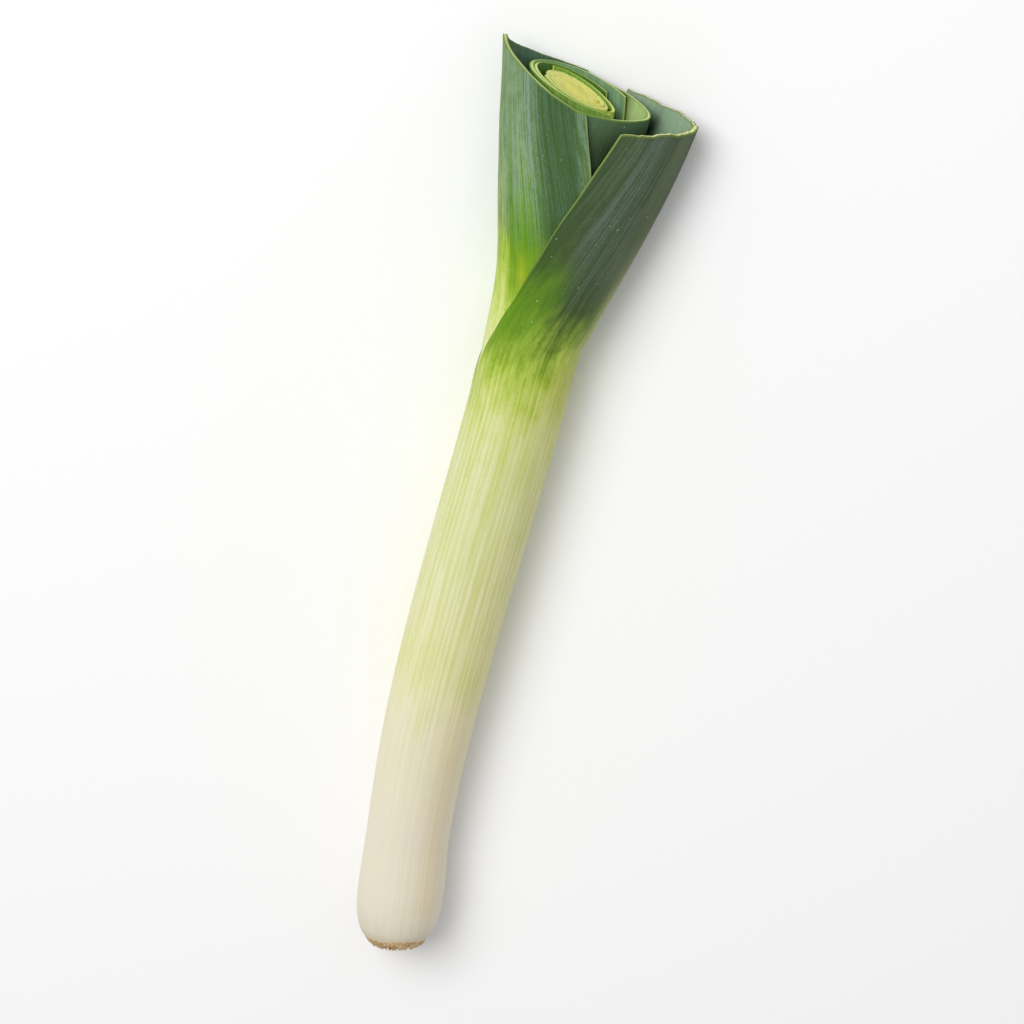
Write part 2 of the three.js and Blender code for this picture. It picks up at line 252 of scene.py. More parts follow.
class Wire:
    # a shader socket that can be added, subtracted, multiplied and divided
    def __init__(self, paint, socket):
        self.paint = paint
        self.socket = socket

    def sum(self, operation, first, second):
        return self.paint.node("ShaderNodeMath", {"operation": operation}, [first, second])

    def __add__(self, other):
        return self.sum("ADD", self, other)

    def __radd__(self, other):
        return self.sum("ADD", other, self)

    def __sub__(self, other):
        return self.sum("SUBTRACT", self, other)

    def __rsub__(self, other):
        return self.sum("SUBTRACT", other, self)

    def __mul__(self, other):
        return self.sum("MULTIPLY", self, other)

    def __rmul__(self, other):
        return self.sum("MULTIPLY", other, self)

    def __truediv__(self, other):
        return self.sum("DIVIDE", self, other)

    def __rtruediv__(self, other):
        return self.sum("DIVIDE", other, self)


class Paint:
    # one material, built up node by node
    def __init__(self, name, **constants):
        self.material = bpy.data.materials.new(name)
        self.material.use_nodes = True
        self.tree = self.material.node_tree
        self.shader = self.tree.nodes["Principled BSDF"]
        for socket, value in constants.items():
            self.shader.inputs[socket.replace("_", " ")].default_value = value

    def connect(self, socket, value):
        if isinstance(value, Wire):
            self.tree.links.new(value.socket, socket)
        else:
            socket.default_value = value

    def node(self, kind, settings, inputs, output=0):
        node = self.tree.nodes.new(kind)
        for key, value in settings.items():
            if key == "stops":
                ramp = node.color_ramp
                while len(ramp.elements) < len(value):
                    ramp.elements.new(0.5)
                for element, (position, colour) in zip(ramp.elements, value):
                    element.position = position
                    element.color = colour
            else:
                setattr(node, key, value)
        pairs = inputs.items() if isinstance(inputs, dict) else enumerate(inputs)
        for key, value in pairs:
            self.connect(node.inputs[key], value)
        return Wire(self, node.outputs[output])

    def attribute(self, name, output="Fac"):
        return self.node("ShaderNodeAttribute", {"attribute_name": name}, {}, output)

    def axis(self, vector, number):
        return self.node("ShaderNodeSeparateXYZ", {}, [vector], number)

    def channel(self, colour, number):
        return self.node("ShaderNodeSeparateColor", {}, [colour], number)

    def stretched(self, vector, scale, offset=(0, 0, 0)):
        return self.node("ShaderNodeVectorMath", {"operation": "MULTIPLY_ADD"}, [vector, scale, offset])

    def noise(self, vector, detail, roughness, scale=1.0):
        inputs = {"Vector": vector, "Scale": scale, "Detail": detail, "Roughness": roughness}
        return self.node("ShaderNodeTexNoise", {}, inputs)

    def cells(self, vector, scale, output="Distance"):
        inputs = {"Vector": vector, "Scale": scale, "Randomness": 1.0}
        return self.node("ShaderNodeTexVoronoi", {}, inputs, output)

    def between(self, value, low, high):
        # 0 below low, 1 above high, smooth between
        settings = {"interpolation_type": "SMOOTHSTEP"}
        return self.node("ShaderNodeMapRange", settings, [value, low, high, 0.0, 1.0])

    def ramp(self, value, stops):
        return self.node("ShaderNodeValToRGB", {"stops": stops}, [value])

    def mix(self, factor, first, second, blend="MIX"):
        settings = {"data_type": "RGBA", "blend_type": blend, "clamp_factor": True}
        return self.node("ShaderNodeMix", settings, {0: factor, 6: first, 7: second}, 2)

    def bump(self, height, strength, distance):
        return self.node("ShaderNodeBump", {}, {"Strength": strength, "Distance": distance, "Height": height})

    def finish(self, **values):
        for socket, value in values.items():
            self.connect(self.shader.inputs[socket.replace("_", " ")], value)
        return self.material


# each leaf from the outside in. Its sheath is a closed tube up to the mouth, and above it the blade parts at
# the margins, front and back, in degrees from the keel; side is the way the keel points. The wall is thicker
# at the keel of the cut. In "skin", pale and deep are the streaks' colours by station, and what else lies
# round the leaf goes by share, from the keel (0) to the front (1) and back (-1) margins: late is how much
# later it ripens to dark green, and each tint is laid along the stations and across in its band. Such a list
# keeps its first and last value beyond its ends
leaves = [
    {"name": "leaf_1", "side": 1, "half": 17.5, "pinch": (0.36, 0.46), "mouth": 238, "front": 74.5,
     "back": 76, "curve": 1.65, "cut": (-4.4, -0.12), "ragged": 0.42, "wall": 1.25, "edgeWall": 1.35,
     "keelWall": 2.3, "base": 4.8, "columns": 168, "sheathRows": 84, "bladeRows": 64,
     "keel": [[250, 17.9], [258, 18.2], [264, 19.8], [272, 22.1], [300, 31.2], [326, 39.7], [342, 44.6],
              [356, 48.7]],
     "skin": {
         "pale": [(0, (214, 205, 182)), (10, (220, 212, 190)), (20, (226, 219, 200)), (60, (229, 223, 201)),
                  (98, (230, 225, 195)), (122, (226, 224, 178)), (160, (224, 224, 183)),
                  (205, (221, 222, 176)), (228, (213, 218, 154)), (240, (198, 209, 118)),
                  (250, (182, 202, 90)), (260, (156, 184, 66)), (274, (124, 156, 36)), (290, (90, 122, 44)),
                  (345, (84, 106, 64)), (370, (84, 106, 66))],
         "deep": [(0, (208, 199, 176)), (20, (224, 217, 194)), (60, (227, 220, 196)), (98, (224, 218, 184)),
                  (122, (212, 212, 144)), (160, (208, 210, 140)), (205, (201, 207, 130)),
                  (228, (190, 201, 100)), (240, (166, 186, 62)), (250, (146, 174, 38)), (260, (120, 152, 22)),
                  (274, (84, 120, 4)), (290, (54, 86, 14)), (345, (50, 76, 32)), (370, (52, 76, 38))],
         "late": [(-1, 18), (-0.8, 10), (-0.5, 0), (-0.3, 4), (0, 16), (0.12, 14), (0.24, 8), (0.36, 1),
                  (0.46, 0), (0.56, 1), (0.65, 5), (0.75, 13), (0.84, 22), (1, 26)],
         "dark": [(54, 74, 32), (78, 96, 60)], "darkFrom": (246, 284), "bloom": (106, 122, 118),
         "bloomFrom": (270, 300), "bloomWeight": 0.6, "soft": 0.24, "margin": (140, 164, 74), "seed": 0.0,
         "bloomBand": [(-1, 0.2), (-0.5, 0.8), (0, 0.15), (0.3, 0.35), (0.46, 0.7), (0.58, 0.9), (0.72, 1),
                       (0.84, 0.5), (1, 0.15)],
         "tints": [
             # painted shade: a warm multiply on the shaft's right and lower sides, for the yellower tone of
             # their shade
             {"colour": (255, 252, 236), "blend": "MULTIPLY",
              "along": [(60, 0), (130, 1), (250, 1), (280, 0)],
              "band": [(-1, 0.6), (-0.5, 0.7), (0, 1), (0.24, 0.9), (0.45, 0.25), (0.6, 0)]},
             {"colour": (176, 182, 84), "along": [(236, 0), (252, 0.7), (272, 0.6), (296, 0.35), (316, 0)],
              "band": [(-0.3, 0), (-0.1, 0.9), (0.12, 0.9), (0.22, 0.4), (0.3, 0)]},
             {"colour": (200, 196, 112), "along": [(222, 0), (240, 0.45), (252, 0.3), (264, 0)],
              "band": [(0, 0), (0.1, 0.8), (0.28, 0.8), (0.4, 0)]},
             {"colour": (228, 206, 162), "along": [(12, 0), (24, 0.45), (90, 0.45), (120, 0)],
              "band": [(-0.1, 0), (0.14, 0.5), (0.28, 1), (0.37, 0.4), (0.46, 0)]},
             # painted shade: the blade's right, shaded flank darkened to dark green
             {"colour": (52, 62, 34), "along": [(284, 0), (306, 1)],
              "band": [(-0.2, 0), (0, 0.6), (0.2, 0.5), (0.27, 0.1), (0.39, 0.1), (0.44, 0.35), (0.54, 0.1),
                       (0.6, 0)]},
             {"colour": (188, 168, 136), "along": [(4, 0.55), (8, 0.35), (12, 0)], "band": [(0, 1)]},
             {"colour": (104, 114, 80), "along": [(276, 0), (290, 0.7), (300, 0.5), (340, 0.6)],
              "band": [(0.12, 0), (0.24, 0.8), (0.36, 0.6), (0.41, 0.4), (0.46, 0)]},
             {"colour": (84, 132, 4), "along": [(250, 0), (264, 1), (282, 1), (296, 0)],
              "band": [(0.58, 0), (0.74, 0.5), (0.9, 0.65), (1, 0.7)]},
             {"colour": (40, 72, 18), "along": [(276, 0), (292, 1)],
              "band": [(0.82, 0), (0.94, 0.45), (1, 0.75)]}]},
     "inside": {"low": (92, 122, 88), "high": (136, 162, 132), "stripe": (150, 176, 146),
                "deepFrom": (0.97, 0.89),
                "shade": {"colour": (36, 54, 32),
                          "along": [(340, 1), (342, 0.75), (344, 0.4), (347, 0.15), (350, 0)],
                          "band": [(-1, 0.3), (-0.84, 0.6), (-0.74, 0.9), (-0.68, 1), (-0.64, 0.6),
                                   (-0.6, 0.15), (-0.56, 0), (0.5, 0), (0.8, 0.8), (1, 1)]}},
     "rim": {"line": (112, 130, 40), "core": (214, 218, 160)}},
    {"name": "leaf_2", "side": -1, "half": 16, "pinch": (0.44, 0.52), "mouth": 260, "front": 97, "back": 93,
     "curve": 1.6, "cut": (8.2, -0.375), "dip": 8, "ragged": 0.12, "wall": 1.25, "edgeWall": 1.35,
     "keelWall": 1.7, "base": 7.6, "columns": 144, "sheathRows": 40, "bladeRows": 64,
     "keel": [[233, 16.1], [253, 17.9], [270, 18.4], [280, 19], [292, 20.6], [301, 22.2], [318, 24.6],
              [344, 26.8], [370, 27.2]],
     "skin": {
         "pale": [(0, (230, 224, 203)), (200, (228, 230, 186)), (250, (224, 228, 176)),
                  (262, (214, 222, 146)), (272, (198, 212, 114)), (281, (180, 202, 84)),
                  (290, (164, 190, 64)), (300, (152, 175, 88)), (314, (152, 174, 106)),
                  (345, (138, 162, 108)), (370, (134, 158, 108))],
         "deep": [(0, (228, 221, 196)), (200, (220, 224, 160)), (250, (212, 220, 150)),
                  (262, (198, 211, 112)), (272, (178, 200, 76)), (281, (152, 180, 36)), (290, (126, 160, 14)),
                  (300, (106, 138, 44)), (314, (96, 128, 56)), (345, (96, 126, 70)), (370, (98, 126, 74))],
         "dark": [(44, 78, 30), (72, 104, 56)], "contrast": 0.095, "bloom": (122, 153, 146),
         "bloomFrom": (288, 316), "bloomWeight": 0.9, "margin": (140, 166, 90), "seed": 31.0,
         "bloomBand": [(-1, 0.5), (0, 0.1), (0.2, 0.35), (0.32, 0.65), (0.42, 0.6), (0.5, 0.95), (0.57, 0.35),
                       (0.7, 0.2), (0.88, 0.15), (0.93, 0.55), (0.975, 0.6), (1, 0.4)],
         "tints": [
             # painted shade: the right part of the blade, turned away from the light, darkened to dark green
             {"colour": (52, 86, 34), "along": [(278, 0), (302, 1)],
              "band": [(-1, 0.3), (0, 0), (0.42, 0), (0.52, 0.3), (0.6, 0.85), (0.68, 0.98), (0.88, 0.98),
                       (0.93, 0.6), (1, 0.4)]},
             {"colour": (84, 138, 0), "along": [(268, 0), (282, 0.9), (300, 0.9), (322, 0.3), (336, 0)],
              "band": [(0.24, 0), (0.34, 0.7), (0.46, 0.95), (0.56, 0.5), (0.66, 0)]},
             {"colour": (196, 196, 40), "along": [(276, 0), (285, 0.5), (294, 0)],
              "band": [(0.36, 0), (0.42, 1), (0.5, 0)]}]},
     "inside": {"low": (120, 150, 90), "high": (68, 96, 74), "stripe": (90, 118, 96), "deepFrom": (0.9, 0.8)},
     "rim": {"line": (108, 136, 46), "core": (186, 196, 126)}},
    {"name": "leaf_3", "side": 1, "half": 13.7, "pinch": (0.36, 0.24), "mouth": 275, "front": 104, "back": 93,
     "curve": 2, "cut": (-0.7, -0.25), "ragged": 0.06, "wall": 1.25, "edgeWall": 1.3, "keelWall": 1.4,
     "base": 7.6, "columns": 128, "sheathRows": 30, "bladeRows": 52,
     "keel": [[262, 14.3], [275, 15.2], [290, 17.8], [310, 21.5], [330, 24.9], [345, 27.4], [360, 29.5]],
     "skin": {
         # painted shade: from station 286 the skin is painted near black, for the shade in the gap under
         # leaf_1, and the tint lightens it again just below the rim
         "pale": [(0, (230, 224, 203)), (250, (222, 226, 170)), (280, (170, 190, 90)), (300, (52, 76, 38)),
                  (334, (44, 64, 36)), (345, (64, 92, 56)), (370, (70, 98, 60))],
         "deep": [(0, (228, 221, 196)), (250, (208, 218, 136)), (280, (130, 160, 50)), (300, (30, 52, 18)),
                  (334, (26, 46, 20)), (345, (38, 64, 32)), (370, (42, 70, 34))],
         "dark": [(30, 50, 20), (44, 66, 34)], "darkFrom": (286, 306), "bloom": (84, 112, 98),
         "bloomFrom": (290, 318), "bloomWeight": 0.4, "margin": (140, 166, 90), "seed": 57.0,
         "tints": [
             {"colour": (84, 112, 76), "along": [(333, 0), (344, 0.75)], "band": [(0, 1)]}]},
     "inside": {"low": (150, 180, 100), "high": (160, 188, 116), "stripe": (178, 202, 140),
                "deepFrom": (0.95, 0.85),
                "shade": {"colour": (48, 70, 30), "along": [(0, 1)],
                          "band": [(-0.62, 0.95), (-0.52, 0.5), (-0.42, 0)]}},
     "rim": {"line": (112, 146, 36), "core": (202, 212, 146)}},
    {"name": "leaf_4", "side": -1, "half": 11.8, "slack": 3.9, "pinch": (0.1, 0.1), "mouth": 290,
     "front": 126, "back": 143.5, "curve": 1.6, "cut": (1.4, -0.36), "ragged": 0.05, "wall": 1.2,
     "edgeWall": 1.1, "keelWall": 1.6, "base": 7.6, "columns": 112, "sheathRows": 30, "bladeRows": 44,
     "keel": [[262, 12.5], [278, 12.7], [300, 14.1], [330, 16], [360, 17.3], [372, 17.7]],
     "skin": {
         "pale": [(0, (230, 224, 203)), (260, (222, 226, 170)), (300, (176, 196, 100)), (335, (122, 154, 62)),
                  (370, (116, 148, 60))],
         "deep": [(0, (228, 221, 196)), (260, (212, 220, 146)), (300, (146, 174, 66)), (335, (84, 120, 30)),
                  (370, (80, 116, 30))],
         "dark": [(92, 142, 20), (132, 174, 58)], "bloom": (130, 168, 110), "bloomFrom": (320, 350),
         "bloomWeight": 0.3, "margin": (170, 190, 110), "seed": 83.0,
         "tints": [
             {"colour": (60, 96, 30), "along": [(290, 0), (310, 1)], "band": [(-1, 0.6), (0, 0)]}]},
     "inside": {"low": (110, 142, 70), "high": (102, 136, 100), "stripe": (126, 158, 118),
                "deepFrom": (0.93, 0.83)},
     "rim": {"line": (118, 154, 44), "core": (196, 210, 136)}},
    {"name": "leaf_5", "side": -1, "half": 10.2, "pinch": (0.12, 0.12), "mouth": 290, "front": 145,
     "back": 132, "curve": 1.6, "cut": (0.5, -0.43), "ragged": 0.05, "wall": 1.2, "edgeWall": 0.95,
     "keelWall": 1.2, "base": 7.6, "columns": 112, "sheathRows": 26, "bladeRows": 40,
     "keel": [[262, 10.7], [278, 10.9], [300, 12.3], [330, 14.2], [360, 15.6], [372, 16]],
     "skin": {
         "pale": [(0, (230, 224, 203)), (270, (224, 228, 172)), (320, (180, 202, 86)), (370, (150, 184, 58))],
         "deep": [(0, (228, 221, 196)), (270, (214, 222, 150)), (320, (150, 184, 46)), (370, (108, 152, 22))],
         "dark": [(108, 152, 22), (150, 184, 58)], "bloom": (150, 180, 120), "bloomFrom": (330, 360),
         "bloomWeight": 0.2, "margin": (190, 204, 124), "seed": 101.0},
     # painted shade: the inner side is painted dark green, for the dark pocket inside the cut
     "inside": {"low": (90, 130, 40), "high": (60, 98, 34), "stripe": (84, 120, 48), "deepFrom": (0.97, 0.9)},
     "rim": {"line": (136, 170, 40), "core": (210, 220, 144)}},
    {"name": "leaf_6", "side": 1, "half": 8.6, "pinch": (0.35, 0.35), "mouth": 290, "front": 156, "back": 138,
     "curve": 1.6, "cut": (0.3, -0.48), "ragged": 0.04, "wall": 1.2, "edgeWall": 0.95, "keelWall": 1.1,
     "base": 7.6, "columns": 112, "sheathRows": 26, "bladeRows": 40,
     "keel": [[262, 8.9], [278, 9.4], [295, 10.6], [325, 12.9], [345, 14.4], [360, 15.2]],
     "skin": {
         "pale": [(0, (230, 224, 203)), (280, (226, 228, 170)), (330, (204, 214, 96)), (370, (184, 204, 76))],
         "deep": [(0, (228, 221, 196)), (280, (218, 224, 150)), (330, (178, 200, 60)), (370, (148, 180, 38))],
         "dark": [(148, 180, 38), (184, 204, 76)], "bloom": (190, 208, 130), "bloomFrom": (330, 360),
         "bloomWeight": 0.2, "margin": (206, 214, 140), "seed": 133.0},
     "inside": {"low": (120, 160, 50), "high": (108, 148, 48), "stripe": (130, 166, 66),
                "deepFrom": (0.97, 0.9)},
     "rim": {"line": (156, 182, 50), "core": (222, 226, 148)}},
]

# what a leaf's skin has unless it says otherwise
plainSkin = {"late": [(0, 0)], "bloomBand": [(0, 0.5)], "tints": [], "darkFrom": (400, 420),
             "contrast": 0.14, "soft": 0.0}
for leaf in leaves:
    leaf["skin"] = dict(plainSkin, **leaf["skin"])

# the skin's patterns: noise sizes are per millimetre, across and along the leaf
skinPattern = {
    "broad": (0.13, 0.008, 0.13), "middle": (0.55, 0.011, 0.55), "fine": (1.5, 0.017, 1.5),
    "patch": (0.13, 0.05, 0.13), "grain": (1.3, 0.7, 1.3), "mottle": (0.42, 0.13, 0.42),
    "speck": (1.0, 0.8, 1.0), "smudge": (2.2, 1.6, 2.2), "dash": (1.1, 0.26, 1.1),
    "veins": 49.0,  # round the leaf, for each radian
    "veinWander": (9.0, 4.0),  # by the broad and middle streaks
    "blade": (220, 262),  # stations where the sheath turns into the blade
    "wander": (12, 6, 3, 26, 18),  # how far broad, middle, fine, patch and mottle shift the colours
    # shares of middle, fine, patch, mottle and veins, and of fine, middle, mottle and grain
    "sheathTone": (0.3, 0.44, 0.26, 0, -0.05), "bladeTone": (0.24, 0.3, 0.2, 0.26, -0.012),
    "powder": (0.44, 0.26, 0.1, 0.2), "powderFrom": (0.56, 0.42),
    "marginLine": (0.986, 0.995), "marginStations": (276, 300), "marginWeight": 0.55,
    "cutLine": (0.9955, 0.9985), "cutWeight": 0.75,
    "dashFrom": (0.2, 0.02), "dashWeight": 0.5,
    "colourLength": 370.0,  # station at the top end of the colour ramps
    # pale specks: dried drop marks, and painted glints of water drops
    "speckColour": (216, 226, 200), "speckWeight": (0.24, 0.2),
    "bump": (0.3, 0.0004),  # strength, and depth in metres
}


def stops(pairs):
    return [(station / skinPattern["colourLength"], shade(*colour)) for station, colour in pairs]


def bandValue(band, share):
    places, values = zip(*band)
    return np.interp(share, places, values)


def blend(sockets, weights):
    total = sockets[0] * weights[0]
    for socket, weight in zip(sockets[1:], weights[1:]):
        total = total + socket * weight
    return total


def streaks(paint, lay, seed):
    # three sizes of lengthwise streak, from a finger wide to a hair wide
    broad = paint.noise(paint.stretched(lay, skinPattern["broad"], (seed, seed, seed)), 2, 0.5)
    middle = paint.noise(paint.stretched(lay, skinPattern["middle"], (seed + 9, seed, seed)), 3, 0.6)
    fine = paint.noise(paint.stretched(lay, skinPattern["fine"], (seed, seed + 5, seed)), 2, 0.6)
    return broad, middle, fine


def skinMaterial(leaf):
    look, pattern = leaf["skin"], skinPattern
    seed = look["seed"]
    paint = Paint(leaf["name"] + "Skin", Specular_IOR_Level=0.24)
    lay = paint.attribute("lay", "Vector")
    upLeaf = paint.axis(lay, 1)
    turn = paint.node("ShaderNodeMath", {"operation": "ARCTAN2"}, [paint.axis(lay, 2), paint.axis(lay, 0)])
    edge = paint.attribute("edge")
    broad, middle, fine = streaks(paint, lay, seed)
    patch = paint.noise(paint.stretched(lay, pattern["patch"], (seed + 2, seed, seed)), 3, 0.55)
    grain = paint.noise(paint.stretched(lay, pattern["grain"], (seed, seed + 1, seed)), 3, 0.65)
    mottle = paint.noise(paint.stretched(lay, pattern["mottle"], (seed + 6, seed, seed)), 4, 0.6)
    # from the sheath to the blade the streaks give way to a soft mottle
    blade = paint.between(upLeaf, *pattern["blade"])
    wander = blend([socket - 0.5 for socket in (broad, middle, fine, patch, mottle)], pattern["wander"])
    station = (upLeaf + wander) / pattern["colourLength"]
    pale = paint.ramp(station, stops(look["pale"]))
    deep = paint.ramp(station, stops(look["deep"]))
    wave = blend([turn, broad - 0.5, middle - 0.5], (pattern["veins"],) + pattern["veinWander"])
    veins = paint.node("ShaderNodeMath", {"operation": "SINE"}, [wave])
    sheathTone = blend([middle, fine, patch, mottle, veins], pattern["sheathTone"])
    bladeTone = blend([middle, fine, patch, mottle, veins], pattern["bladeTone"])
    tone = sheathTone + (bladeTone - sheathTone) * blade + (grain - 0.5) * 0.16
    depth = paint.between(tone, 0.5 - look["contrast"], 0.5 + look["contrast"])
    colour = paint.mix(depth, pale, deep)
    lateness = paint.attribute("ripe") + wander
    # past darkFrom the skin turns dark: the blade's own late dark green on leaf_1, and painted shade in the
    # gap under leaf_1 on leaf_3
    dark = paint.mix(depth, shade(*look["dark"][1]), shade(*look["dark"][0]))
    colour = paint.mix(paint.between(lateness, *look["darkFrom"]), colour, dark)
    # the tints are the leaves' own colours, and some are painted shade on the shaded sides of leaf_1, leaf_2
    # and leaf_3
    for k, tint in enumerate(look["tints"]):
        weight = paint.attribute("tint%d" % k)
        colour = paint.mix(weight, colour, shade(*tint["colour"]), tint.get("blend", "MIX"))
    # the waxy bloom, as powder in the streaks and as a soft haze
    bloomPlace = paint.between(lateness, *look["bloomFrom"])
    powder = paint.between(blend([fine, middle, mottle, grain], pattern["powder"]), *pattern["powderFrom"])
    haze = powder * (1 - 1.3 * look["soft"]) + look["soft"]
    bloom = haze * bloomPlace * paint.attribute("bloom") * look["bloomWeight"]
    colour = paint.mix(bloom, colour, shade(*look["bloom"]))
    # a thin pale line follows each free margin
    nearMargin = paint.between(edge, *pattern["marginLine"])
    marginLine = nearMargin * paint.between(upLeaf, *pattern["marginStations"])
    colour = paint.mix(marginLine * pattern["marginWeight"], colour, shade(*look["margin"]))
    # the cut dries to a narrow olive line on the skin beside it
    cutLine = paint.between(paint.attribute("opened"), *pattern["cutLine"])
    colour = paint.mix(cutLine * pattern["cutWeight"], colour, shade(*leaf["rim"]["line"]))
    # a few pale specks: dried drop marks, and painted glints of water drops
    spread = paint.stretched(lay, pattern["speck"], (seed, 0, seed))
    smudge = paint.noise(paint.stretched(lay, pattern["smudge"], (seed, 0, seed)), 2, 0.6)
    distance = paint.cells(spread, 0.5) + (smudge - 0.5) * 0.24
    chance = paint.cells(spread, 0.5, "Color")
    width = paint.channel(chance, 1) * 0.14 + 0.05
    speck = paint.between(width - distance, 0.0, 0.08) * paint.between(paint.channel(chance, 0), 0.7, 1.0)
    speckWeight = pattern["speckWeight"][0] + blade * pattern["speckWeight"][1]
    colour = paint.mix(speck * speckWeight, colour, shade(*pattern["speckColour"]))
    # short dark dashes lie along the blades
    strokes = paint.cells(paint.stretched(lay, pattern["dash"], (seed + 4, 0, seed)), 1.0)
    dash = paint.between(strokes + (smudge - 0.5) * 0.3, *pattern["dashFrom"]) * blade
    colour = paint.mix(dash * pattern["dashWeight"], colour, shade(*look["dark"][0]))
    height = (fine * 0.5 + middle * 0.35 + veins * 0.12) * (1.0 - blade * 0.6) + grain * 0.25 + speck * 0.4
    normal = paint.bump(height, *pattern["bump"])
    rough = 0.4 + bloomPlace * 0.12 + (mottle - 0.5) * 0.12
    return paint.finish(Base_Color=colour, Roughness=rough, Normal=normal)


# the leaves' inner sides, which are seen only at the cut
innerPattern = {
    "highFrom": (280, 330), "wander": 40,  # stations
    "stripe": (0.44, 0.6), "stripeWeight": 0.7,
    "deep": (40, 58, 26), "deepWeight": 0.75, "cutLine": (0.9965, 0.999), "cutWeight": 0.6,
}


def innerMaterial(leaf):
    look, pattern = leaf["inside"], innerPattern
    paint = Paint(leaf["name"] + "Inside", Specular_IOR_Level=0.25)
    lay = paint.attribute("lay", "Vector")
    middle, fine = streaks(paint, lay, leaf["skin"]["seed"] + 3)[1:]
    station = paint.axis(lay, 1) + (middle - 0.5) * pattern["wander"]
    high = paint.between(station, *pattern["highFrom"])
    colour = paint.mix(high, shade(*look["low"]), shade(*look["high"]))
    stripe = paint.between(fine * 0.5 + middle * 0.5, *pattern["stripe"])
    colour = paint.mix(stripe * pattern["stripeWeight"], colour, shade(*look["stripe"]))
    # deeper inside, less light comes back from leaf to leaf
    opened = paint.attribute("opened")
    deep = paint.between(opened, *look["deepFrom"])
    colour = paint.mix(deep * pattern["deepWeight"], colour, shade(*pattern["deep"]))
    # painted shade: darker where the next leaf shades the inner side, in the cleft beside leaf_3 on leaf_1
    # and under leaf_4's margin on leaf_3
    if "shade" in look:
        colour = paint.mix(paint.attribute("shade"), colour, shade(*look["shade"]["colour"]))
    cutLine = paint.between(opened, *pattern["cutLine"])
    colour = paint.mix(cutLine * pattern["cutWeight"], colour, shade(*leaf["rim"]["line"]))
    normal = paint.bump(fine + middle * 0.5, *skinPattern["bump"])
    return paint.finish(Base_Color=colour, Roughness=0.45, Normal=normal)


def rimMaterial(leaf):
    # the cut wall: pale inside, with an olive line at both skins
    paint = Paint(leaf["name"] + "Rim", Specular_IOR_Level=0.4)
    skin = paint.attribute("skin")
    lay = paint.attribute("lay", "Vector")
    grain = paint.noise(paint.stretched(lay, (1.4, 1.4, 1.4)), 3, 0.6)
    line, core = shade(*leaf["rim"]["line"]), shade(*leaf["rim"]["core"])
    bands = [(0.0, line), (0.18, line), (0.42, core), (0.64, core), (0.88, line)]
    colour = paint.ramp(skin + (grain - 0.5) * 0.4, bands)
    colour = paint.mix(paint.between(grain, 0.5, 0.75) * 0.3, colour, line)
    return paint.finish(Base_Color=colour, Roughness=0.35, Normal=paint.bump(grain, 0.4, 0.0003))


# what keeps the leaves from looking turned on a lathe
leafDetail = {
    "rowEase": [(0.35, 2.2), (0.65, 1.25)],  # share and power
    "marginWander": [(19, 0.003, 1), (43, 0.002, 2)],  # turns, size, step from leaf to leaf
    "veins": [(27, 0.035, 1.3, 60), (61, 0.02, 0.9, 41)],  # turns, height, sway and its length
    "veinsFade": (236, 276, 0.85),  # stations, and how much is lost
    "swell": 0.16, "swellLength": 46, "swollen": 2,  # only the outer leaves show it
    "calm": 12, "calmBlade": 0.6,  # both fade near the base and on the blades
    "spreadEnd": 364,  # station where the turn is widest
    "colourRadius": 17.9,  # the patterns are laid on such a tube
}


